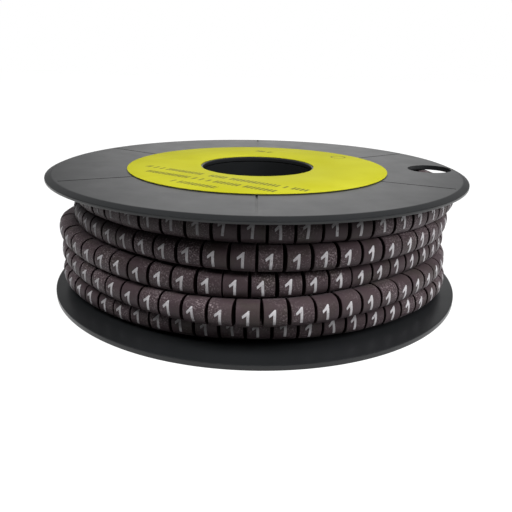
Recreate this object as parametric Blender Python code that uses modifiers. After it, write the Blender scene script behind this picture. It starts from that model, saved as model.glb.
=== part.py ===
"""Reel of cable markers: a two-piece moulded reel wound with one string of marker sleeves.

Units are metres and +Z is up. The reel stands on its lower flange, with its axis on Z
and the origin in the middle of the resting face. The front of the reel faces -Y.
"""
import math

import bmesh
import bpy
from mathutils import Matrix, Vector

MM = 0.001

# Marker string: a soft sleeve, cut nearly through into markers that stay joined by a web
SLEEVE_HEIGHT = 6.4 * MM
SLEEVE_DEPTH = 6.4 * MM
SLEEVE_BORE = 3.6 * MM
MARKER_LENGTH = 5.55 * MM
CUT_WIDTH = 0.15 * MM
WEB_THICKNESS = 1.0 * MM
OPEN_END_DEPTH = 4 * MM

# Winding: an inner layer that climbs the drum, and an outer layer that comes down over it
TURNS_PER_LAYER = 5
ROW_CLEARANCE = 0.25 * MM
WINDING_CLEARANCE = 0.3 * MM
LAYER_SLACK = 3.5 * MM

# Flanges of the reel. The upper one is a shallow dish: its face rises from the label seat
# to the rim, where a bevel runs down to the edge.
FLANGE_RADIUS = 64 * MM
FLANGE_WALL = 1.5 * MM
RIM_ROUNDING = 0.2 * MM
BEVEL_WIDTH = 1.8 * MM
BEVEL_DROP = 0.7 * MM
FACE_DISH = 0.4 * MM
BORE_RADIUS = 17.3 * MM
BORE_CHAMFER = 0.3 * MM

# Hub: the winding drum and the arbor tube, which both stand on the lower flange
DRUM_RADIUS = 43.0 * MM
DRUM_WALL = 1.6 * MM
ARBOR_WALL = 1.4 * MM

# Collars under the upper flange, which plug into the drum and over the arbor tube
COLLAR_WALL = 1.2 * MM
COLLAR_DEPTH = 4 * MM
SEAT_CLEARANCE = 0.3 * MM

# Radial grooves in both outer faces, and the round hole near the rim of the upper one
GROOVE_COUNT = 6
GROOVE_WIDTH = 0.4 * MM
GROOVE_DEPTH = 0.25 * MM
GROOVE_TO_RIM = 2.6 * MM
HOLE_RADIUS = 6.7 * MM
HOLE_TO_RIM = 2.3 * MM

# Label, and the raised seat that it is stuck on
LABEL_RADIUS = 40.6 * MM
LABEL_TO_BORE = 0.6 * MM
LABEL_THICKNESS = 0.12 * MM
LABEL_CLEARANCE = 0.1 * MM
LABEL_SEAT_HEIGHT = 0.1 * MM
LABEL_SEAT_MARGIN = 0.2 * MM

# Sizes that follow from the ones above
CLEAR_WIDTH = (TURNS_PER_LAYER * SLEEVE_HEIGHT + (TURNS_PER_LAYER - 1) * ROW_CLEARANCE
               + 2 * WINDING_CLEARANCE)
REEL_WIDTH = CLEAR_WIDTH + 2 * FLANGE_WALL
INNER_LAYER_RADIUS = DRUM_RADIUS + WINDING_CLEARANCE + SLEEVE_DEPTH / 2
OUTER_LAYER_RADIUS = INNER_LAYER_RADIUS + SLEEVE_DEPTH + LAYER_SLACK
HUB_FACE_HEIGHT = REEL_WIDTH - FACE_DISH
LABEL_SEAT_RADIUS = LABEL_RADIUS + LABEL_SEAT_MARGIN

# Facets: around the turned pieces and the hole, and degrees between sections of the
# uncut inner layer, which the outer layer hides. A turned outline's seam is welded.
TURNED_STEPS = 64
HOLE_STEPS = 32
INNER_LAYER_STEP = 15
SEAM_MERGE = 0.01 * MM

# The sleeve's section, as directions in degrees from the side that faces away from the
# hub. A squareness of 2 is round, and more is squarer.
SECTION_DIRECTIONS = (26, 78, 140, 220, 282, 334)
SECTION_SQUARENESS = 2.3

# Places round the reel are degrees from the front, counted through the right-hand side.
# The string crosses from turn to turn behind the reel, one kind of crossing after another.
TURN_START = -115
OUTER_CROSSING = (100, 160)
STEP_OUT = (160, 205)
INNER_CROSSING = (200, 245)
STRING_END = 95

# How the outer turns lie, from the bottom turn up: how far each stands out from its
# layer, and up from its level, at five places from the left of the reel to the right,
# and last behind the reel. The spacing of the five is in degrees.
PLACE_SPACING = 37.5
TURNS_OUT = (
    (1.8 * MM, -2.7 * MM, -2.9 * MM, -2.7 * MM, 1.1 * MM, 0.0 * MM),
    (1.5 * MM, -0.8 * MM, 1.6 * MM, -0.3 * MM, 0.3 * MM, 0.8 * MM),
    (1.7 * MM, -1.1 * MM, -1.7 * MM, -3.0 * MM, -0.9 * MM, -0.3 * MM),
    (-2.8 * MM, -2.8 * MM, -0.7 * MM, -0.5 * MM, -0.4 * MM, -1.0 * MM),
    (1.9 * MM, -1.5 * MM, -1.8 * MM, -0.1 * MM, -0.5 * MM, -0.2 * MM),
)
TURNS_UP = (
    (1.2 * MM, 0.2 * MM, 1.5 * MM, 0.7 * MM, 0.7 * MM, 0.0 * MM),
    (2.0 * MM, 0.0 * MM, 0.3 * MM, 0.9 * MM, 0.5 * MM, 0.0 * MM),
    (1.8 * MM, 0.1 * MM, -0.3 * MM, 0.4 * MM, 0.3 * MM, 0.0 * MM),
    (0.9 * MM, 0.3 * MM, 0.1 * MM, 0.2 * MM, 0.1 * MM, 0.0 * MM),
    (0.0 * MM, 0.0 * MM, -0.1 * MM, 0.0 * MM, 0.0 * MM, 0.0 * MM),
)


def plain_material(name, colour, roughness):
    made = bpy.data.materials.new(name)
    made.use_nodes = True
    shader = made.node_tree.nodes["Principled BSDF"]
    shader.inputs["Base Color"].default_value = (*colour, 1)
    shader.inputs["Roughness"].default_value = roughness
    shader.inputs["Metallic"].default_value = 0
    made.diffuse_color = (*colour, 1)
    return made


def new_object(name, mesh, collection):
    made = bpy.data.objects.new(name, mesh)
    collection.objects.link(made)
    return made


def turned(name, outline, collection):
    """Turn a closed outline of (radius, height) points about Z.

    The outline runs down its outer side first, then in along its underside."""
    mesh = bpy.data.meshes.new(name)
    points = [(radius, 0, height) for radius, height in outline]
    edges = [(i, (i + 1) % len(points)) for i in range(len(points))]
    mesh.from_pydata(points, edges, [])
    made = new_object(name, mesh, collection)
    screw = made.modifiers.new("turn", "SCREW")
    screw.axis = "Z"
    screw.steps = TURNED_STEPS
    screw.render_steps = TURNED_STEPS
    screw.use_merge_vertices = True
    screw.merge_threshold = SEAM_MERGE
    return made


def cut_with(piece, cutter):
    cutter.hide_render = True
    cutter.display_type = "WIRE"
    cut = piece.modifiers.new("cut", "BOOLEAN")
    cut.operation = "DIFFERENCE"
    cut.object = cutter


def groove_cutter(name, inner_height, outer_height, collection):
    """Narrow bars, evenly spaced round the reel, that cut the radial grooves of a face.

    The two heights are the face's at the label seat's edge and at the grooves' outer end."""
    run = FLANGE_RADIUS - GROOVE_TO_RIM - LABEL_SEAT_RADIUS
    slope = math.atan2(outer_height - inner_height, run)
    size = (run / math.cos(slope), GROOVE_WIDTH, 2 * GROOVE_DEPTH)
    tilt = Matrix.Rotation(-slope, 3, "Y")
    middle = (LABEL_SEAT_RADIUS + run / 2, 0, (inner_height + outer_height) / 2)
    work = bmesh.new()
    for index in range(GROOVE_COUNT):
        bar = bmesh.ops.create_cube(work, size=1)["verts"]
        bmesh.ops.scale(work, vec=size, verts=bar)
        bmesh.ops.rotate(work, cent=(0, 0, 0), matrix=tilt, verts=bar)
        bmesh.ops.translate(work, vec=middle, verts=bar)
        turn = Matrix.Rotation(math.radians(-90 + index * 360 / GROOVE_COUNT), 3, "Z")
        bmesh.ops.rotate(work, cent=(0, 0, 0), matrix=turn, verts=bar)
    mesh = bpy.data.meshes.new(name)
    work.to_mesh(mesh)
    work.free()
    return new_object(name, mesh, collection)


def hole_cutter(name, collection):
    work = bmesh.new()
    bmesh.ops.create_cone(work, cap_ends=True, segments=HOLE_STEPS, radius1=HOLE_RADIUS,
                          radius2=HOLE_RADIUS, depth=4 * FLANGE_WALL)
    mesh = bpy.data.meshes.new(name)
    work.to_mesh(mesh)
    work.free()
    made = new_object(name, mesh, collection)
    made.location = (FLANGE_RADIUS - HOLE_TO_RIM - HOLE_RADIUS, 0, REEL_WIDTH)
    return made


def reel_body(collection, cutters):
    """The lower half of the reel: flange, winding drum and arbor tube in one moulding."""
    floor = FLANGE_WALL
    seat = REEL_WIDTH - FLANGE_WALL - SEAT_CLEARANCE
    arbor_outside = BORE_RADIUS + ARBOR_WALL
    drum_inside = DRUM_RADIUS - DRUM_WALL
    outline = [
        (FLANGE_RADIUS, floor - RIM_ROUNDING),
        (FLANGE_RADIUS, RIM_ROUNDING),
        (FLANGE_RADIUS - RIM_ROUNDING, 0),
        (BORE_RADIUS + BORE_CHAMFER, 0),
        (BORE_RADIUS, BORE_CHAMFER),
        (BORE_RADIUS, seat),
        (arbor_outside, seat),
        (arbor_outside, floor),
        (drum_inside, floor),
        (drum_inside, seat),
        (DRUM_RADIUS, seat),
        (DRUM_RADIUS, floor),
        (FLANGE_RADIUS - RIM_ROUNDING, floor),
    ]
    body = turned("reel_body", outline, collection)
    cut_with(body, groove_cutter("lower_groove_bars", 0, 0, cutters))
    return body


def reel_cap(collection, cutters):
    """The upper half of the reel: a flange with two collars that plug into the hub."""
    ceiling = REEL_WIDTH - FLANGE_WALL
    collar_end = ceiling - COLLAR_DEPTH
    drum_collar = DRUM_RADIUS - DRUM_WALL - SEAT_CLEARANCE
    arbor_collar = BORE_RADIUS + ARBOR_WALL + SEAT_CLEARANCE
    label_seat = HUB_FACE_HEIGHT + LABEL_SEAT_HEIGHT
    crease = FLANGE_RADIUS - BEVEL_WIDTH
    groove_end = FLANGE_RADIUS - GROOVE_TO_RIM
    rise_at_groove_end = (FACE_DISH * (groove_end - LABEL_SEAT_RADIUS)
                          / (crease - LABEL_SEAT_RADIUS))
    outline = [
        (FLANGE_RADIUS, ceiling + RIM_ROUNDING),
        (FLANGE_RADIUS - RIM_ROUNDING, ceiling),
        (drum_collar, ceiling),
        (drum_collar, collar_end),
        (drum_collar - COLLAR_WALL, collar_end),
        (drum_collar - COLLAR_WALL, ceiling),
        (arbor_collar + COLLAR_WALL, ceiling),
        (arbor_collar + COLLAR_WALL, collar_end),
        (arbor_collar, collar_end),
        (arbor_collar, ceiling),
        (BORE_RADIUS, ceiling),
        (BORE_RADIUS, label_seat - BORE_CHAMFER),
        (BORE_RADIUS + BORE_CHAMFER, label_seat),
        (LABEL_SEAT_RADIUS, label_seat),
        (LABEL_SEAT_RADIUS, HUB_FACE_HEIGHT),
        (crease, REEL_WIDTH),
        (FLANGE_RADIUS, REEL_WIDTH - BEVEL_DROP),
    ]
    cap = turned("reel_cap", outline, collection)
    cut_with(cap, groove_cutter("upper_groove_bars", HUB_FACE_HEIGHT,
                                HUB_FACE_HEIGHT + rise_at_groove_end, cutters))
    cut_with(cap, hole_cutter("rim_hole_drill", cutters))
    return cap


def label(collection):
    """The printed ring label round the bore."""
    underside = HUB_FACE_HEIGHT + LABEL_SEAT_HEIGHT + LABEL_CLEARANCE
    inner_radius = BORE_RADIUS + LABEL_TO_BORE
    outline = [
        (LABEL_RADIUS, underside + LABEL_THICKNESS),
        (LABEL_RADIUS, underside),
        (inner_radius, underside),
        (inner_radius, underside + LABEL_THICKNESS),
    ]
    return turned("label", outline, collection)


def eased(place, span):
    """0 before the span, 1 after it, and a smooth rise between."""
    share = min(max((place - span[0]) / (span[1] - span[0]), 0), 1)
    return share * share * (3 - 2 * share)


def lie(values, place):
    """Read a turn's lie at a place, on a smooth curve through its values."""
    *front, behind = values
    knots = (behind, behind, behind, *front, behind, behind, behind)
    position = place / PLACE_SPACING + len(knots) // 2
    index = math.floor(position)
    if index < 1 or index > len(knots) - 3:
        return behind
    a, b, c, d = knots[index - 1:index + 3]
    t = position - index
    return 0.5 * (2 * b + (c - a) * t + (2 * a - 5 * b + 4 * c - d) * t ** 2
                  + (3 * b - a - 3 * c + d) * t ** 3)


def string_centre(angle):
    """The middle of the string at a winding angle, in degrees from the front of turn 0."""
    turn = math.floor((angle - TURN_START) / 360)
    place = angle - 360 * turn
    top = TURNS_PER_LAYER - 1
    if turn < top:
        row = turn + eased(place, INNER_CROSSING)
        radius = INNER_LAYER_RADIUS
        rise = 0
    elif turn == top:
        row = top
        outside = eased(place, STEP_OUT)
        radius = (INNER_LAYER_RADIUS * (1 - outside)
                  + outside * (OUTER_LAYER_RADIUS + lie(TURNS_OUT[top], place - 360)))
        rise = outside * lie(TURNS_UP[top], place - 360)
    else:
        this_turn = TURNS_PER_LAYER + top - turn
        next_turn = max(this_turn - 1, 0)
        crossed = eased(place, OUTER_CROSSING)
        row = this_turn - crossed
        radius = OUTER_LAYER_RADIUS + (lie(TURNS_OUT[this_turn], place) * (1 - crossed)
                                       + lie(TURNS_OUT[next_turn], place - 360) * crossed)
        rise = (lie(TURNS_UP[this_turn], place) * (1 - crossed)
                + lie(TURNS_UP[next_turn], place - 360) * crossed)
    height = (FLANGE_WALL + WINDING_CLEARANCE + SLEEVE_HEIGHT / 2
              + row * (SLEEVE_HEIGHT + ROW_CLEARANCE) + rise)
    bearing = math.radians(angle)
    return Vector((radius * math.sin(bearing), -radius * math.cos(bearing), height))


def string_frame(angle):
    """The string's middle, and its directions along, out from the hub and up."""
    centre = string_centre(angle)
    along = (string_centre(angle + 0.5) - string_centre(angle - 0.5)).normalized()
    outward = Vector((centre.x, centre.y, 0))
    outward = (outward - along * outward.dot(along)).normalized()
    return centre, along, outward, outward.cross(along)


def marker_angles():
    """Winding angles of the outer markers' middles, each a marker and a cut further on.

    Both are measured along the side of the string towards the hub, where the web is."""
    angle = 360 * (TURNS_PER_LAYER - 1) + STEP_OUT[1]
    last = 360 * (2 * TURNS_PER_LAYER - 1) + STRING_END
    angles = []
    while angle < last:
        angles.append(angle)
        centre = string_centre(angle)
        web_radius = math.hypot(centre.x, centre.y) - SLEEVE_DEPTH / 2
        angle += math.degrees((MARKER_LENGTH + CUT_WIDTH) / web_radius)
    return angles


def section(depth, height, squareness):
    """The sleeve's outline as (out, up) points: a circle, or squarer above 2."""
    points = []
    for direction in SECTION_DIRECTIONS:
        out = math.cos(math.radians(direction))
        up = math.sin(math.radians(direction))
        reach = (abs(out) ** squareness + abs(up) ** squareness) ** (-1 / squareness)
        points.append((out * reach * depth / 2, up * reach * height / 2))
    return points


def web_section(outline):
    """The web that is left in a cut, and which of its points each outline point meets.

    It has two corners on the side towards the hub, and one point away from it."""
    upper, lower = [point for point in outline if point[0] < 0]
    web = [(upper[0] + WEB_THICKNESS, 0), upper, lower]
    match = [web.index(point) if point in web else 0 for point in outline]
    return web, match


def ring(work, frame, points, shift=0):
    """Vertices of a section, set square to the string and shifted along it."""
    centre, along, outward, upward = frame
    start = centre + along * shift
    return [work.verts.new(start + outward * out + upward * up) for out, up in points]


def join(work, ring_a, ring_b, match=None):
    """Faces between two rings. match gives the point of ring_b for each of ring_a's."""
    match = match or range(len(ring_a))
    for i in range(len(ring_a)):
        j = (i + 1) % len(ring_a)
        corners = [ring_a[i], ring_a[j], ring_b[match[j]]]
        if match[i] != match[j]:
            corners.append(ring_b[match[i]])
        work.faces.new(corners)


def marker_string(collection):
    """The whole string as one solid: the inner layer uncut, the outer layer cut."""
    sleeve = section(SLEEVE_DEPTH, SLEEVE_HEIGHT, SECTION_SQUARENESS)
    bore = section(SLEEVE_BORE, SLEEVE_BORE, 2)
    web, match = web_section(sleeve)
    markers = marker_angles()
    work = bmesh.new()

    inner_sections = int((markers[0] - TURN_START) / INNER_LAYER_STEP)
    last = ring(work, string_frame(TURN_START), sleeve)
    work.faces.new(last)
    for index in range(1, inner_sections + 1):
        here = ring(work, string_frame(TURN_START + index * INNER_LAYER_STEP), sleeve)
        join(work, last, here)
        last = here

    for index, angle in enumerate(markers):
        frame = string_frame(angle)
        start = ring(work, frame, sleeve, -MARKER_LENGTH / 2)
        if index == 0:
            join(work, start, last)
        else:
            cut = ring(work, string_frame((markers[index - 1] + angle) / 2), web)
            join(work, last, cut, match)
            join(work, start, cut, match)
        last = ring(work, frame, sleeve, MARKER_LENGTH / 2)
        join(work, start, last)

    mouth = ring(work, frame, bore, MARKER_LENGTH / 2)
    bottom = ring(work, frame, bore, MARKER_LENGTH / 2 - OPEN_END_DEPTH)
    join(work, last, mouth)
    join(work, mouth, bottom)
    work.faces.new(bottom)

    bmesh.ops.recalc_face_normals(work, faces=work.faces)
    mesh = bpy.data.meshes.new("marker_string")
    work.to_mesh(mesh)
    work.free()
    return new_object("marker_string", mesh, collection)


for leftover in list(bpy.data.objects):
    bpy.data.objects.remove(leftover, do_unlink=True)

reel = bpy.data.collections.new("cable_marker_reel")
tools = bpy.data.collections.new("cutters")
bpy.context.scene.collection.children.link(reel)
bpy.context.scene.collection.children.link(tools)

black_plastic = plain_material("reel_plastic", (0.035, 0.036, 0.039), 0.42)
brown_vinyl = plain_material("marker_vinyl", (0.035, 0.022, 0.025), 0.5)
yellow_film = plain_material("label_film", (0.60, 0.56, 0.05), 0.35)

reel_body(reel, tools).data.materials.append(black_plastic)
reel_cap(reel, tools).data.materials.append(black_plastic)
label(reel).data.materials.append(yellow_film)
marker_string(reel).data.materials.append(brown_vinyl)
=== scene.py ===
import math
import random

import bmesh
import bpy
from mathutils import Matrix, Vector


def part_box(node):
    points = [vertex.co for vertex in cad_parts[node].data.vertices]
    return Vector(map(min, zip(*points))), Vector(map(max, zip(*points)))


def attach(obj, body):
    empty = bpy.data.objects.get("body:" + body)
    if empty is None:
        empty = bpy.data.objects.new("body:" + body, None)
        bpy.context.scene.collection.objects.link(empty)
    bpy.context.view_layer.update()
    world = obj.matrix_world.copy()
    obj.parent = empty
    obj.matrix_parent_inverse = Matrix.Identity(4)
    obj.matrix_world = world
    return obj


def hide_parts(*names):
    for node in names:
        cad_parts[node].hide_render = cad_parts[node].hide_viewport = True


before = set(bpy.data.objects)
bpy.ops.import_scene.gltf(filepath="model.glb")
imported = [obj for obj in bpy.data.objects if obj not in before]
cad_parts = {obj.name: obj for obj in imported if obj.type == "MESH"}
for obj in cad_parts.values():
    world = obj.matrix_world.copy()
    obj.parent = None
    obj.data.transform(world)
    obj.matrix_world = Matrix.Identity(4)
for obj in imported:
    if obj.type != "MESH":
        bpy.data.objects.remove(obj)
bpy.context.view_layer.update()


# The lower half of the reel is one black styrene moulding: the flange that the reel stands
# on, the drum that carries the string, and the arbor tube round the bore. It has the mould's
# satin skin, and a thin radial groove is sunk into its outer face every sixty degrees.
mm = 0.001
body_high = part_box("reel_body")[1]
rim_radius = body_high.x
flange_wall = 1.5 * mm
rim_rounding = 0.25 * mm
bore_radius = 17.3 * mm
bore_rounding = 0.4 * mm
drum_radius = 43 * mm
drum_wall = 1.6 * mm
arbor_wall = 1.4 * mm
label_seat_radius = 40.8 * mm
groove_count = 6
first_groove = -90
groove_width = 0.55 * mm
groove_depth = 0.3 * mm
groove_to_rim = 2.6 * mm
groove_end = rim_radius - groove_to_rim
turned_steps = 256
sharp_from = 32
noise_low = 0.3
noise_high = 0.7
styrene_colours = [(0.0095, 0.0103, 0.0110), (0.0115, 0.0120, 0.0130)]


def rounded(corners, points=4):
    """An outline from corners of (radius, height, rounding). A rounding of 0 stays sharp."""
    outline = []
    for index, (radius, height, rounding) in enumerate(corners):
        here = Vector((radius, height))
        if rounding == 0:
            outline.append(here)
            continue
        before = Vector(corners[index - 1][:2])
        after = Vector(corners[(index + 1) % len(corners)][:2])
        start = here + (before - here).normalized() * rounding
        end = here + (after - here).normalized() * rounding
        for step in range(points + 1):
            t = step / points
            outline.append(start * (1 - t) ** 2 + here * 2 * t * (1 - t) + end * t ** 2)
    return outline


def smooth_with_sharp_edges(mesh):
    """Soft shading, with a hard line only where two faces meet at a clear angle."""
    mesh.shade_smooth()
    mesh.set_sharp_from_angle(angle=math.radians(sharp_from))


def new_piece(name, work):
    """A shown object from a bmesh, with its normals pointing out."""
    bmesh.ops.recalc_face_normals(work, faces=work.faces)
    mesh = bpy.data.meshes.new(name)
    work.to_mesh(mesh)
    work.free()
    smooth_with_sharp_edges(mesh)
    piece = bpy.data.objects.new(name, mesh)
    bpy.context.scene.collection.objects.link(piece)
    return piece


def band(work, ring_a, ring_b):
    """Faces between two rings of as many points."""
    for i in range(len(ring_a)):
        j = (i + 1) % len(ring_a)
        work.faces.new((ring_a[i], ring_a[j], ring_b[j], ring_b[i]))


def turned(name, outline):
    """A closed outline of (radius, height) points, turned about the reel's axis."""
    work = bmesh.new()
    rings = []
    for step in range(turned_steps):
        turn = 2 * math.pi * step / turned_steps
        rings.append([work.verts.new((radius * math.cos(turn), radius * math.sin(turn), height))
                      for radius, height in outline])
    for ring_a, ring_b in zip(rings, rings[1:] + rings[:1]):
        band(work, ring_a, ring_b)
    return new_piece(name, work)


def cut_away(piece, cutter):
    """Cut one shape out of a piece for good, and remove the cutter."""
    cut = piece.modifiers.new("cut", "BOOLEAN")
    cut.operation = "DIFFERENCE"
    cut.object = cutter
    graph = bpy.context.evaluated_depsgraph_get()
    mesh = bpy.data.meshes.new_from_object(piece.evaluated_get(graph))
    piece.modifiers.clear()
    piece.data = mesh
    smooth_with_sharp_edges(mesh)
    bpy.data.objects.remove(cutter, do_unlink=True)


def groove_bars(inner_height, outer_height):
    """Thin bars round the reel that cut the grooves, half of each below a face. The heights
    are the face's at the label seat's edge and at the grooves' outer end."""
    run = groove_end - label_seat_radius
    slope = math.atan2(outer_height - inner_height, run)
    size = (run / math.cos(slope), groove_width, 2 * groove_depth)
    tilt = Matrix.Rotation(-slope, 3, "Y")
    middle = (label_seat_radius + run / 2, 0, (inner_height + outer_height) / 2)
    work = bmesh.new()
    for index in range(groove_count):
        bar = bmesh.ops.create_cube(work, size=1)["verts"]
        bmesh.ops.scale(work, vec=size, verts=bar)
        bmesh.ops.rotate(work, cent=(0, 0, 0), matrix=tilt, verts=bar)
        bmesh.ops.translate(work, vec=middle, verts=bar)
        bearing = math.radians(first_groove + 360 * index / groove_count)
        bmesh.ops.rotate(work, cent=(0, 0, 0), matrix=Matrix.Rotation(bearing, 3, "Z"), verts=bar)
    return new_piece("groove_bars", work)


def new_material(name):
    """A node material, its node tree, its shader and the place on the object in metres."""
    material = bpy.data.materials.new(name)
    material.use_nodes = True
    tree = material.node_tree
    place = tree.nodes.new("ShaderNodeTexCoord").outputs["Object"]
    return material, tree, tree.nodes["Principled BSDF"], place


def noise(tree, place, scale, detail=2, roughness=0.5):
    """Soft three-dimensional noise, with scale in features to the metre."""
    node = tree.nodes.new("ShaderNodeTexNoise")
    node.inputs["Scale"].default_value = scale
    node.inputs["Detail"].default_value = detail
    node.inputs["Roughness"].default_value = roughness
    tree.links.new(place, node.inputs["Vector"])
    return node.outputs["Fac"]


def ramp(tree, value, colours):
    """Colours spread evenly over the range that most of a noise lies in."""
    node = tree.nodes.new("ShaderNodeValToRGB")
    marks = node.color_ramp.elements
    while len(marks) < len(colours):
        marks.new(0.5)
    for index, (mark, colour) in enumerate(zip(marks, colours)):
        mark.position = noise_low + (noise_high - noise_low) * index / (len(colours) - 1)
        mark.color = (*colour, 1)
    tree.links.new(value, node.inputs["Fac"])
    return node.outputs["Color"]


def spread(tree, value, low, high, from_low=noise_low, from_high=noise_high):
    """A value taken from one range to another, held at its ends."""
    node = tree.nodes.new("ShaderNodeMapRange")
    node.inputs["From Min"].default_value = from_low
    node.inputs["From Max"].default_value = from_high
    node.inputs["To Min"].default_value = low
    node.inputs["To Max"].default_value = high
    tree.links.new(value, node.inputs["Value"])
    return node.outputs["Result"]


def bumped(tree, shader, height, strength, distance):
    """Raise the surface by a height value, over a distance in metres."""
    node = tree.nodes.new("ShaderNodeBump")
    node.inputs["Strength"].default_value = strength
    node.inputs["Distance"].default_value = distance
    tree.links.new(height, node.inputs["Height"])
    tree.links.new(node.outputs["Normal"], shader.inputs["Normal"])


def black_styrene():
    """Black plastic with a satin skin, a little cloudy, with glossier and duller patches."""
    material, tree, shader, place = new_material("black_styrene")
    cloud = noise(tree, place, scale=45, detail=3)
    tree.links.new(ramp(tree, cloud, styrene_colours), shader.inputs["Base Color"])
    patches = noise(tree, place, scale=130, detail=4, roughness=0.6)
    tree.links.new(spread(tree, patches, low=0.30, high=0.35), shader.inputs["Roughness"])
    skin = noise(tree, place, scale=3200)
    bumped(tree, shader, skin, strength=0.08, distance=0.02 * mm)
    shader.inputs["Specular IOR Level"].default_value = 0.37
    return material


lower_outline = rounded([
    (rim_radius, flange_wall, rim_rounding),
    (rim_radius, 0, rim_rounding),
    (bore_radius, 0, bore_rounding),
    (bore_radius, body_high.z, 0),
    (bore_radius + arbor_wall, body_high.z, 0),
    (bore_radius + arbor_wall, flange_wall, 0),
    (drum_radius - drum_wall, flange_wall, 0),
    (drum_radius - drum_wall, body_high.z, 0),
    (drum_radius, body_high.z, 0),
    (drum_radius, flange_wall, 0),
])
lower_half = turned("lower_reel_half", lower_outline)
cut_away(lower_half, groove_bars(0, 0))
reel_plastic = black_styrene()
lower_half.data.materials.append(reel_plastic)
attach(lower_half, "root")
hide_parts("reel_body")


# The upper half of the reel is a second moulding of the same black styrene, with two collars
# that plug into the drum and over the arbor tube. Its face is a shallow dish with a bevelled
# rim, the same six grooves, a low seat for the label and a round hole for the string's end.
cap_low, cap_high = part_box("reel_cap")
reel_width = cap_high.z
ceiling = reel_width - flange_wall
face_dish = 0.4 * mm
hub_face = reel_width - face_dish
label_seat_height = 0.1 * mm
bevel_width = 1.8 * mm
bevel_drop = 0.7 * mm
crease_radius = rim_radius - bevel_width
crease_rounding = 0.25 * mm
collar_end = cap_low.z
collar_wall = 1.2 * mm
seat_clearance = 0.3 * mm
drum_collar = drum_radius - drum_wall - seat_clearance
arbor_collar = bore_radius + arbor_wall + seat_clearance
hole_radius = 6.7 * mm
hole_to_rim = 2.3 * mm
hole_rounding = 0.2 * mm
hole_steps = 64


def hole_drill(centre_x):
    """A round drill that widens at the upper face, so that the hole's edge is eased."""
    outline = [
        (hole_radius + 2 * hole_rounding, reel_width + hole_rounding),
        (hole_radius + hole_rounding, reel_width),
        (hole_radius, reel_width - hole_rounding),
        (hole_radius, ceiling - flange_wall),
    ]
    turns = [2 * math.pi * step / hole_steps for step in range(hole_steps)]
    work = bmesh.new()
    rings = []
    for radius, height in outline:
        rings.append([work.verts.new((centre_x + radius * math.cos(turn),
                                      radius * math.sin(turn), height)) for turn in turns])
    for upper, lower in zip(rings, rings[1:]):
        band(work, upper, lower)
    work.faces.new(rings[0])
    work.faces.new(rings[-1])
    return new_piece("hole_drill", work)


upper_outline = rounded([
    (rim_radius, ceiling, rim_rounding),
    (drum_collar, ceiling, 0),
    (drum_collar, collar_end, 0),
    (drum_collar - collar_wall, collar_end, 0),
    (drum_collar - collar_wall, ceiling, 0),
    (arbor_collar + collar_wall, ceiling, 0),
    (arbor_collar + collar_wall, collar_end, 0),
    (arbor_collar, collar_end, 0),
    (arbor_collar, ceiling, 0),
    (bore_radius, ceiling, 0),
    (bore_radius, hub_face + label_seat_height, bore_rounding),
    (label_seat_radius, hub_face + label_seat_height, label_seat_height / 2),
    (label_seat_radius, hub_face, 0),
    (crease_radius, reel_width, crease_rounding),
    (rim_radius, reel_width - bevel_drop, rim_rounding),
])
upper_half = turned("upper_reel_half", upper_outline)
groove_share = (groove_end - label_seat_radius) / (crease_radius - label_seat_radius)
cut_away(upper_half, groove_bars(hub_face, hub_face + face_dish * groove_share))
cut_away(upper_half, hole_drill(rim_radius - hole_to_rim - hole_radius))
upper_half.data.materials.append(reel_plastic)
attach(upper_half, "root")
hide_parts("reel_cap")


# The label is a ring of bright yellow film, stuck on its low seat round the bore. Its print
# is dark olive: three straight rows of small dashes that run down to the front right, and a
# few dashes and a plain ring at the back, which spell nothing.
label_low, label_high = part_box("label")
label_radius = label_high.x
label_inset = 0.6 * mm
label_bore = bore_radius + label_inset
label_rounding = 0.04 * mm
film_colours = [(0.31, 0.302, 0.009), (0.353, 0.344, 0.019)]
print_colour = (0.045, 0.042, 0.02)

# For each row of print: how far back it lies across the slant, and its two ends along it.
print_slant = -33.5
print_rows = [
    (-22.7 * mm, -25.9 * mm, 31.0 * mm),
    (-28.6 * mm, -20.5 * mm, 24.8 * mm),
    (-34.7 * mm, -4.9 * mm, 10.3 * mm),
    (26.0 * mm, -18.0 * mm, -11.0 * mm),
]
print_height = 2.6 * mm
dash_pitch = 1.25 * mm
dash_share = 0.66
blank_share = 0.11
draws_per_row = 100
ring_place = Vector((28.5, 19.8)) * mm
ring_radius = 2.4 * mm
ring_width = 0.5 * mm


def math_node(tree, operation, *values):
    """One sum on up to three values, each a socket or a number."""
    node = tree.nodes.new("ShaderNodeMath")
    node.operation = operation
    for socket, value in zip(node.inputs, values):
        if isinstance(value, (int, float)):
            socket.default_value = value
        else:
            tree.links.new(value, socket)
    return node.outputs["Value"]


def axes_of(tree, place):
    """A place's own X and Y, as two values."""
    node = tree.nodes.new("ShaderNodeSeparateXYZ")
    tree.links.new(place, node.inputs["Vector"])
    return node.outputs["X"], node.outputs["Y"]


def mixed(tree, share, colour, other):
    """A colour mixed with another one, three numbers, by a share of the other."""
    node = tree.nodes.new("ShaderNodeMix")
    node.data_type = "RGBA"
    base, over = [socket for socket in node.inputs if socket.type == "RGBA"]
    tree.links.new(share, node.inputs["Factor"])
    tree.links.new(colour, base)
    over.default_value = (*other, 1)
    return [socket for socket in node.outputs if socket.type == "RGBA"][0]


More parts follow.
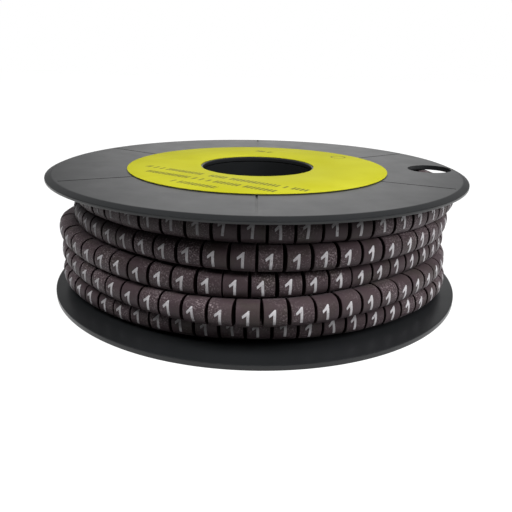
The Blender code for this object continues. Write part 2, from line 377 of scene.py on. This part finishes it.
def print_rows_share(tree, place):
    """1 on the dashes of the rows and 0 off them. A dash here and there is left blank."""
    turned_place = tree.nodes.new("ShaderNodeVectorRotate")
    turned_place.rotation_type = "Z_AXIS"
    turned_place.inputs["Angle"].default_value = math.radians(-print_slant)
    tree.links.new(place, turned_place.inputs["Vector"])
    along, across = axes_of(tree, turned_place.outputs["Vector"])
    pitches = math_node(tree, "MULTIPLY", along, 1 / dash_pitch)
    cell = math_node(tree, "FLOOR", pitches)
    dash = math_node(tree, "LESS_THAN", math_node(tree, "FRACT", pitches), dash_share)
    share = None
    for row, (row_across, start, end) in enumerate(print_rows):
        level = math_node(tree, "COMPARE", across, row_across, print_height / 2)
        stretch = math_node(tree, "COMPARE", along, (start + end) / 2, (end - start) / 2)
        dice = tree.nodes.new("ShaderNodeTexWhiteNoise")
        dice.noise_dimensions = "1D"
        tree.links.new(math_node(tree, "ADD", cell, draws_per_row * row), dice.inputs["W"])
        chosen = math_node(tree, "GREATER_THAN", dice.outputs["Value"], blank_share)
        mark = math_node(tree, "MULTIPLY", math_node(tree, "MULTIPLY", level, stretch),
                         math_node(tree, "MULTIPLY", chosen, dash))
        share = mark if share is None else math_node(tree, "ADD", share, mark)
    return share


def print_ring_share(tree, place):
    """1 on the line of the printed ring and 0 off it."""
    x, y = axes_of(tree, place)
    from_x = math_node(tree, "SUBTRACT", x, ring_place.x)
    from_y = math_node(tree, "SUBTRACT", y, ring_place.y)
    squares = math_node(tree, "ADD", math_node(tree, "MULTIPLY", from_x, from_x),
                        math_node(tree, "MULTIPLY", from_y, from_y))
    return math_node(tree, "COMPARE", math_node(tree, "SQRT", squares),
                     ring_radius, ring_width / 2)


def yellow_film():
    """Yellow film with worn dark olive print, all of it set out from the reel's axis."""
    material, tree, shader, place = new_material("yellow_film")
    share = math_node(tree, "ADD", print_rows_share(tree, place), print_ring_share(tree, place))
    worn = spread(tree, noise(tree, place, scale=1900), low=0.5, high=1.0)
    share = math_node(tree, "MULTIPLY", share, worn)
    film = ramp(tree, noise(tree, place, scale=60, detail=3), film_colours)
    tree.links.new(mixed(tree, share, film, print_colour), shader.inputs["Base Color"])
    shader.inputs["Roughness"].default_value = 0.6
    shader.inputs["Specular IOR Level"].default_value = 0.08
    return material


ring_label = turned("ring_label", rounded([
    (label_radius, label_high.z, label_rounding),
    (label_radius, label_low.z, 0),
    (label_bore, label_low.z, 0),
    (label_bore, label_high.z, label_rounding),
], points=2))
ring_label.data.materials.append(yellow_film())
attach(ring_label, "root")
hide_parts("label")


# The string is one dark brown vinyl sleeve, cut nearly through every few millimetres, so
# that the markers tear off one by one. It climbs the drum in five turns, steps out behind
# the top one and comes down over them in five more, and the cuts gape where it bends.
sleeve_height = 6.4 * mm
sleeve_depth = 6.4 * mm
sleeve_bore = 3.6 * mm
sleeve_squareness = 2.5
section_points = 20
marker_length = 5.55 * mm
cut_width = 0.15 * mm
cut_edge = 0.12 * mm
web_thickness = 1 * mm
web_points = 4
open_end_depth = 4 * mm
gape_least = 0.75
gape_most = 1.2
tight_cut = 0.3
tight_cut_share = 0.06
roll_degrees = 2.5
shift_each_way = 0.07 * mm
turns_per_layer = 5
row_clearance = 0.25 * mm
winding_clearance = 0.3 * mm
layer_slack = 3.5 * mm
inner_layer_radius = drum_radius + winding_clearance + sleeve_depth / 2
outer_layer_radius = inner_layer_radius + sleeve_depth + layer_slack
vinyl_colours = [(0.034, 0.027, 0.025), (0.042, 0.029, 0.033), (0.046, 0.034, 0.036)]
speckle_colour = (0.24, 0.20, 0.21)
# Near-black colours for the cut faces: painted shade of the hollow bore that the real cuts open
# into.
cut_shade_colours = [(0.0045, 0.0022, 0.0026), (0.0085, 0.0045, 0.0052)]

# Places round the reel are in degrees from the front, counted towards the right.
turn_start = -115
outer_crossing = (100, 160)
step_out = (160, 205)
inner_crossing = (200, 245)
string_end = 95
marker_lead = 0.9
look_each_way = 0.5

# How far each turn of the outer layer lies out from even and up from even, in millimetres,
# the bottom turn first: at five places across the front, from left to right, and behind.
place_spacing = 37.5
turns_out = (
    (1.8, -2.7, -2.9, -2.7, 1.1, 0.0),
    (1.5, -0.8, 1.6, -0.3, 0.3, 0.8),
    (1.7, -1.1, -1.7, -3.0, -0.9, -0.3),
    (-2.8, -2.8, -0.7, -0.5, -0.4, -1.0),
    (-3.0, -3.0, -1.8, -0.1, 0.6, -1.2),
)
turns_up = (
    (1.2, 0.2, 1.5, 0.7, 0.7, 0.0),
    (2.0, 0.0, 0.3, 0.9, 0.5, 0.0),
    (1.8, 0.1, -0.3, 0.4, 0.3, 0.0),
    (0.25, 0.25, 0.1, 0.2, 0.1, 0.0),
    (0.0, 0.0, -0.1, 0.0, 0.0, 0.0),
)
random.seed(31)


def eased(place, span):
    """0 before the span, 1 after it, and a smooth rise between."""
    share = min(max((place - span[0]) / (span[1] - span[0]), 0), 1)
    return share * share * (3 - 2 * share)


def lie(values, place):
    """How a turn lies at a place, on a smooth curve through its values, in metres."""
    *front, behind = values
    knots = (behind, behind, behind, *front, behind, behind, behind)
    position = place / place_spacing + len(knots) // 2
    index = math.floor(position)
    if index < 1 or index > len(knots) - 3:
        return behind * mm
    a, b, c, d = knots[index - 1:index + 3]
    t = position - index
    return 0.5 * mm * (2 * b + (c - a) * t + (2 * a - 5 * b + 4 * c - d) * t ** 2
                       + (3 * b - a - 3 * c + d) * t ** 3)


def string_centre(angle):
    """The middle of the string, at degrees from the front of its first turn."""
    turn = math.floor((angle - turn_start) / 360)
    place = angle - 360 * turn
    top = turns_per_layer - 1
    if turn < top:
        row = turn + eased(place, inner_crossing)
        radius = inner_layer_radius
        rise = 0
    elif turn == top:
        row = top
        outside = eased(place, step_out)
        radius = (inner_layer_radius * (1 - outside)
                  + outside * (outer_layer_radius + lie(turns_out[top], place - 360)))
        rise = outside * lie(turns_up[top], place - 360)
    else:
        this_turn = turns_per_layer + top - turn
        next_turn = max(this_turn - 1, 0)
        crossed = eased(place, outer_crossing)
        row = this_turn - crossed
        radius = outer_layer_radius + (lie(turns_out[this_turn], place) * (1 - crossed)
                                       + lie(turns_out[next_turn], place - 360) * crossed)
        rise = (lie(turns_up[this_turn], place) * (1 - crossed)
                + lie(turns_up[next_turn], place - 360) * crossed)
    height = (flange_wall + winding_clearance + sleeve_height / 2
              + row * (sleeve_height + row_clearance) + rise)
    bearing = math.radians(angle)
    return Vector((radius * math.sin(bearing), -radius * math.cos(bearing), height))


def string_frame(angle):
    """The string's middle, and its directions along, out from the hub and up."""
    centre = string_centre(angle)
    ahead, behind = string_centre(angle + look_each_way), string_centre(angle - look_each_way)
    along = (ahead - behind).normalized()
    outward = Vector((centre.x, centre.y, 0))
    outward = (outward - along * outward.dot(along)).normalized()
    return centre, along, outward, outward.cross(along)


def marker_step(angle):
    """Degrees from one marker to the next, measured along the side towards the hub."""
    centre = string_centre(angle)
    web_radius = math.hypot(centre.x, centre.y) - sleeve_depth / 2
    return math.degrees((marker_length + cut_width) / web_radius)


def marker_angles():
    """Where each marker of both layers has its middle, the inner layer's counted back."""
    outer_start = 360 * (turns_per_layer - 1) + step_out[1] + marker_lead
    last = 360 * (2 * turns_per_layer - 1) + string_end
    inner = []
    angle = outer_start - marker_step(outer_start)
    while angle > turn_start:
        inner.append(angle)
        angle -= marker_step(angle)
    outer = []
    angle = outer_start
    while angle < last:
        outer.append(angle)
        angle += marker_step(angle)
    return inner[::-1] + outer


def section(depth, height, squareness):
    """An outline of (out, up) points: an ellipse at 2, and squarer above it."""
    points = []
    for index in range(section_points):
        turn = math.radians(360 * (index + 0.5) / section_points)
        out, up = math.cos(turn), math.sin(turn)
        reach = (abs(out) ** squareness + abs(up) ** squareness) ** (-1 / squareness)
        points.append((out * reach * depth / 2, up * reach * height / 2))
    return points


def on_string(frame_here, sway, ahead, out, up):
    """A point ahead of a place on the string, out from the hub and up, with the roll and the
    shift of its own marker."""
    centre, along, outward, upward = frame_here
    roll, out_by, up_by = sway
    turned_out = out * math.cos(roll) - up * math.sin(roll) + out_by
    turned_up = out * math.sin(roll) + up * math.cos(roll) + up_by
    return centre + along * ahead + outward * turned_out + upward * turned_up


def place_points(work, frame_here, points, shift, sway):
    """Vertices of a section. shift is a length along the string for each point."""
    return [work.verts.new(on_string(frame_here, sway, ahead, out, up))
            for (out, up), ahead in zip(points, shift)]


def close_to_web(work, ring, web, match):
    """Faces from a marker's end ring down to the few points of the web in the cut. match
    names the web's point for each point of the ring."""
    for i in range(len(ring)):
        j = (i + 1) % len(ring)
        corners = [ring[i], ring[j], web[match[j]]]
        if match[i] != match[j]:
            corners.append(web[match[i]])
        # The cut faces take the second material, whose near-black colour is painted shade.
        work.faces.new(corners).material_index = 1


def string_cuts(angles, frames):
    """For each cut, its place and how much it opens for each metre out from the web. Bends
    open a cut, and a few stay nearly closed. The string's two ends have None instead."""
    cuts = [None]
    for index in range(len(angles) - 1):
        frame_cut = string_frame((angles[index] + angles[index + 1]) / 2)
        turn_of_string = frames[index + 1][1] - frames[index][1]
        bend = max(-turn_of_string.dot(frame_cut[2]), 0)
        share = random.uniform(gape_least, gape_most)
        if random.random() < tight_cut_share:
            share = tight_cut
        cuts.append((frame_cut, math.tan(bend / 2) * share))
    return cuts + [None]


def marker_end(cut, frame_here, points):
    """The place that a marker's end is measured from, and how far from it each point lies.
    An end with no cut lies half a marker away from the marker's middle."""
    if cut is None:
        return frame_here, [-marker_length / 2 for out, up in points]
    frame_cut, opening = cut
    return frame_cut, [cut_width / 2 + (out + sleeve_depth / 2) * opening for out, up in points]


angles = marker_angles()
frames = [string_frame(angle) for angle in angles]
sways = [(math.radians(random.uniform(-roll_degrees, roll_degrees)),
          random.uniform(-shift_each_way, shift_each_way),
          random.uniform(-shift_each_way, shift_each_way)) for angle in angles]
cuts = string_cuts(angles, frames)
still = (0, 0, 0)
sleeve_outline = section(sleeve_depth, sleeve_height, sleeve_squareness)
edge_outline = [(out * (1 - 2 * cut_edge / sleeve_depth), up * (1 - 2 * cut_edge / sleeve_height))
                for out, up in sleeve_outline]
hub_side = sorted(sleeve_outline, key=lambda point: point[0])[:web_points]
upper_web = max(hub_side, key=lambda point: point[1])
lower_web = min(hub_side, key=lambda point: point[1])
web_outline = [(upper_web[0] + web_thickness, 0), upper_web, lower_web]
web_match = []
for out, up in sleeve_outline:
    on_web = (out, up) in hub_side
    web_match.append(0 if not on_web else 1 if up > 0 else 2)

string_work = bmesh.new()
last_web = None
for frame_here, sway, cut_before, cut_after in zip(frames, sways, cuts, cuts[1:]):
    start_frame, start_gape = marker_end(cut_before, frame_here, sleeve_outline)
    end_frame, end_gape = marker_end(cut_after, frame_here, sleeve_outline)
    rings = [
        place_points(string_work, start_frame, edge_outline, start_gape, sway),
        place_points(string_work, start_frame, sleeve_outline,
                     [length + cut_edge for length in start_gape], sway),
        place_points(string_work, frame_here, sleeve_outline, [0] * section_points, sway),
        place_points(string_work, end_frame, sleeve_outline,
                     [-length - cut_edge for length in end_gape], sway),
        place_points(string_work, end_frame, edge_outline, [-length for length in end_gape], sway),
    ]
    for ring_a, ring_b in zip(rings, rings[1:]):
        band(string_work, ring_a, ring_b)
    if cut_before is None:
        string_work.faces.new(rings[0])
    else:
        close_to_web(string_work, rings[0], last_web, web_match)
    if cut_after is not None:
        last_web = place_points(string_work, end_frame, web_outline, [0, 0, 0], still)
        close_to_web(string_work, rings[-1], last_web, web_match)
string_tail = rings[-1]
bore_outline = section(sleeve_bore, sleeve_bore, 2)
mouth, bottom = (place_points(string_work, frames[-1], bore_outline, [ahead] * section_points,
                              sways[-1])
                 for ahead in (marker_length / 2, marker_length / 2 - open_end_depth))
band(string_work, string_tail, mouth)
band(string_work, mouth, bottom)
string_work.faces.new(bottom)
string_piece = new_piece("string_of_markers", string_work)


def brown_vinyl():
    """Soft dark brown vinyl: a dull skin that turns a little paler where it is seen edge on,
    with a fine pale speckle that comes and goes from marker to marker."""
    material, tree, shader, place = new_material("brown_vinyl")
    body = ramp(tree, noise(tree, place, scale=140, detail=3), vinyl_colours)
    grain = noise(tree, place, scale=2600, detail=3, roughness=0.7)
    speck = spread(tree, grain, low=0, high=1, from_low=0.52, from_high=0.66)
    where = noise(tree, place, scale=85, detail=1)
    patches = spread(tree, where, low=0.05, high=0.9, from_low=0.42, from_high=0.62)
    share = math_node(tree, "MULTIPLY", speck, patches)
    tree.links.new(mixed(tree, share, body, speckle_colour), shader.inputs["Base Color"])
    tree.links.new(spread(tree, grain, low=0.44, high=0.62), shader.inputs["Roughness"])
    bumped(tree, shader, grain, strength=0.25, distance=0.05 * mm)
    shader.inputs["Specular IOR Level"].default_value = 0.2
    shader.inputs["Sheen Weight"].default_value = 0.04
    shader.inputs["Sheen Roughness"].default_value = 0.4
    shader.inputs["Sheen Tint"].default_value = (0.85, 0.8, 0.86, 1)
    return material


def painted_shade_vinyl():
    """The same vinyl on the cut faces, painted near black as shade: the real cuts open into the
    sleeve's hollow bore, and this sleeve is solid.
    """
    material, tree, shader, place = new_material("painted_shade_vinyl")
    cloud = noise(tree, place, scale=400)
    tree.links.new(ramp(tree, cloud, cut_shade_colours), shader.inputs["Base Color"])
    shader.inputs["Roughness"].default_value = 0.9
    shader.inputs["Specular IOR Level"].default_value = 0.05
    return material


string_piece.data.materials.append(brown_vinyl())
string_piece.data.materials.append(painted_shade_vinyl())
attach(string_piece, "root")
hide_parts("marker_string")


# Each marker has the numeral 1 printed on its outer side in pale grey ink. The stamp is a
# little askew from marker to marker, and the ink is thin and broken in places.
ink_lift = 0.03 * mm
ink_sink = 0.05 * mm
ink_strip = 0.42 * mm
numeral_corners = [(0.64, 0), (0.64, 3.85), (0.3, 3.85), (-1.05, 2.6), (-0.92, 2.02),
                   (0, 2.72), (0, 0)]
numeral_middle = Vector((0.5, 1.95)) * mm
numeral_rise = (0.1, 0.0, 0.0, 0.05, 0.5)
numeral_lean = 3
numeral_shift = 0.25 * mm
ink_colours = [(0.34, 0.33, 0.34), (0.52, 0.51, 0.53)]
bare_colour = (0.10, 0.085, 0.09)


def stamp_outline():
    """The numeral as flat faces in strips, narrow enough to bend round the sleeve."""
    work = bmesh.new()
    work.faces.new([work.verts.new((x * mm, y * mm, 0)) for x, y in numeral_corners])
    top = max(y for x, y in numeral_corners) * mm
    height = ink_strip
    while height < top:
        everything = work.verts[:] + work.edges[:] + work.faces[:]
        bmesh.ops.bisect_plane(work, geom=everything, plane_co=(0, height, 0), plane_no=(0, 1, 0))
        height += ink_strip
    return work


def face_depth(up):
    """How far the sleeve's outer side stands out at a height above its middle."""
    share = min(abs(up) / (sleeve_height / 2), 1)
    return sleeve_depth / 2 * (1 - share ** sleeve_squareness) ** (1 / sleeve_squareness)


def print_numeral(work, stamp, frame_here, sway, lean, across, above):
    """Lay the stamp on a marker's outer side as a thin closed slip of ink."""
    cos, sin = math.cos(lean), math.sin(lean)
    layers = []
    for lift in (ink_lift, -ink_sink):
        layer = {}
        for vert in stamp.verts:
            x, y = vert.co.x - numeral_middle.x, vert.co.y - numeral_middle.y
            run = x * cos + y * sin + across
            up = y * cos - x * sin + above
            layer[vert] = work.verts.new(on_string(frame_here, sway, run,
                                                   face_depth(up) + lift, up))
        layers.append(layer)
    face_up, face_down = layers
    for face in stamp.faces:
        work.faces.new([face_up[vert] for vert in face.verts])
        work.faces.new([face_down[vert] for vert in reversed(face.verts)])
    for edge in stamp.edges:
        if len(edge.link_faces) == 1:
            a, b = edge.verts
            work.faces.new((face_up[a], face_up[b], face_down[b], face_down[a]))


def pale_ink():
    """Thin grey ink, broken by fine specks of the brown that it is printed on."""
    material, tree, shader, place = new_material("pale_ink")
    ink = ramp(tree, noise(tree, place, scale=260), ink_colours)
    wear = noise(tree, place, scale=2400, detail=3, roughness=0.65)
    share = spread(tree, wear, low=0, high=0.75, from_low=0.56, from_high=0.74)
    tree.links.new(mixed(tree, share, ink, bare_colour), shader.inputs["Base Color"])
    shader.inputs["Roughness"].default_value = 0.65
    shader.inputs["Specular IOR Level"].default_value = 0.3
    return material


stamp = stamp_outline()
ink_work = bmesh.new()
for angle, frame_here, sway in zip(angles, frames, sways):
    turn = math.floor((angle - turn_start) / 360)
    row = min(2 * turns_per_layer - 1 - turn, turns_per_layer - 1)
    print_numeral(ink_work, stamp, frame_here, sway,
                  lean=math.radians(random.gauss(0, numeral_lean)),
                  across=random.uniform(-numeral_shift, numeral_shift),
                  above=numeral_rise[row] * mm + random.uniform(-numeral_shift, numeral_shift))
stamp.free()
numerals = new_piece("printed_numerals", ink_work)
numerals.data.materials.append(pale_ink())
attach(numerals, "root")


# The reel stands on a white floor in a white studio. Four wide soft lamps light it from the
# front, most of them high up and to the right, and its gloss shows a bright panel behind it.
# The camera looks down at it from a little above.
floor_size = 6
floor_drop = 0.02 * mm
floor_grey = 0.12
floor_glow = 0.95
shadow_reach = 0.12
white_from = 0.45
surround_for_light = 0.08
panel_direction = Vector((0.04, 1, 0.36)).normalized()
panel_even_to = 3
panel_fades_at = 27
room_share = 0.25
lamp_width = 0.3
lamps = [
    ("front_lamp", Vector((0, -0.29, 0.53)), 2.1),
    ("right_lamp", Vector((0.32, -0.22, 0.46)), 1.6),
    ("side_lamp", Vector((0.48, -0.20, 0.30)), 3.0),
    ("left_lamp", Vector((-0.29, -0.21, 0.49)), 2.4),
]
lens = 38.32
sensor = 36
nearest_seen = 10 * mm
camera_place = Vector((0, -0.1741, 0.06685))
camera_yaw = 0.001
camera_pitch = 0.3373
camera_roll = 0.02


def seen_directly(tree):
    """1 for what the camera sees, also in a gloss or through glass, and 0 for the light that
    falls on the reel."""
    rays = tree.nodes.new("ShaderNodeLightPath").outputs
    mirrored = math_node(tree, "MAXIMUM", rays["Is Camera Ray"], rays["Is Glossy Ray"])
    return math_node(tree, "MAXIMUM", mirrored, rays["Is Transmission Ray"])


def white_floor():
    """A grey floor with a white glow that only the camera and the gloss see. Near the reel
    the glow leaves room for the shadow, and further off it is as white as the backdrop."""
    material, tree, shader, place = new_material("white_floor")
    from_reel = tree.nodes.new("ShaderNodeVectorMath")
    from_reel.operation = "LENGTH"
    tree.links.new(place, from_reel.inputs[0])
    glow = spread(tree, from_reel.outputs["Value"], floor_glow, 1, shadow_reach, white_from)
    strength = math_node(tree, "MULTIPLY", seen_directly(tree), glow)
    tree.links.new(strength, shader.inputs["Emission Strength"])
    shader.inputs["Emission Color"].default_value = (1, 1, 1, 1)
    shader.inputs["Base Color"].default_value = (floor_grey, floor_grey, floor_grey, 1)
    shader.inputs["Roughness"].default_value = 0.9
    shader.inputs["Specular IOR Level"].default_value = 0.0
    return material


def white_surround():
    """White where the camera looks past the floor. The gloss sees a bright panel that fades
    into a dimmer room, and little of that light falls on the reel."""
    world = bpy.data.worlds.new("white_surround")
    world.use_nodes = True
    tree = world.node_tree
    towards_panel = tree.nodes.new("ShaderNodeVectorMath")
    towards_panel.operation = "DOT_PRODUCT"
    direction = tree.nodes.new("ShaderNodeTexCoord").outputs["Generated"]
    tree.links.new(direction, towards_panel.inputs[0])
    towards_panel.inputs[1].default_value = panel_direction
    panel = spread(tree, towards_panel.outputs["Value"], room_share, 1,
                   math.cos(math.radians(panel_fades_at)), math.cos(math.radians(panel_even_to)))
    panel.node.interpolation_type = "SMOOTHSTEP"
    share = spread(tree, seen_directly(tree), surround_for_light, 1, 0, 1)
    for_gloss = math_node(tree, "MULTIPLY", share, panel)
    camera_ray = tree.nodes.new("ShaderNodeLightPath").outputs["Is Camera Ray"]
    background = tree.nodes["Background"]
    background.inputs["Color"].default_value = (1, 1, 1, 1)
    tree.links.new(math_node(tree, "MAXIMUM", for_gloss, camera_ray), background.inputs["Strength"])
    return world


def place_lamp(name, place, power):
    """A round soft lamp that points at the reel, and that the gloss doesn't show."""
    lamp = bpy.data.lights.new(name, "AREA")
    lamp.shape = "DISK"
    lamp.size = lamp_width
    lamp.energy = power
    lamp_object = bpy.data.objects.new(name, lamp)
    bpy.context.scene.collection.objects.link(lamp_object)
    lamp_object.location = place
    lamp_object.visible_glossy = False
    lamp_object.rotation_euler = (-place).to_track_quat("-Z", "Y").to_euler()


def place_camera():
    """A camera at its place, turned by its yaw, pitch and roll in radians."""
    forward = Vector((math.sin(camera_yaw) * math.cos(camera_pitch),
                      math.cos(camera_yaw) * math.cos(camera_pitch), -math.sin(camera_pitch)))
    level = Vector((math.cos(camera_yaw), -math.sin(camera_yaw), 0))
    above = level.cross(forward)
    right = level * math.cos(camera_roll) + above * math.sin(camera_roll)
    upright = above * math.cos(camera_roll) - level * math.sin(camera_roll)
    camera = bpy.data.cameras.new("camera")
    camera.lens = lens
    camera.sensor_width = sensor
    camera.clip_start = nearest_seen
    camera_object = bpy.data.objects.new("camera", camera)
    bpy.context.scene.collection.objects.link(camera_object)
    turn = Matrix((right, upright, -forward)).transposed().to_4x4()
    camera_object.matrix_world = Matrix.Translation(camera_place) @ turn
    bpy.context.scene.camera = camera_object


floor_work = bmesh.new()
bmesh.ops.create_grid(floor_work, x_segments=1, y_segments=1, size=floor_size / 2)
floor = new_piece("studio_floor", floor_work)
floor.location.z = -floor_drop
floor.data.materials.append(white_floor())
bpy.context.scene.world = white_surround()
for lamp_name, lamp_place, lamp_power in lamps:
    place_lamp(lamp_name, lamp_place, lamp_power)
place_camera()
bpy.context.scene.view_settings.view_transform = "Standard"
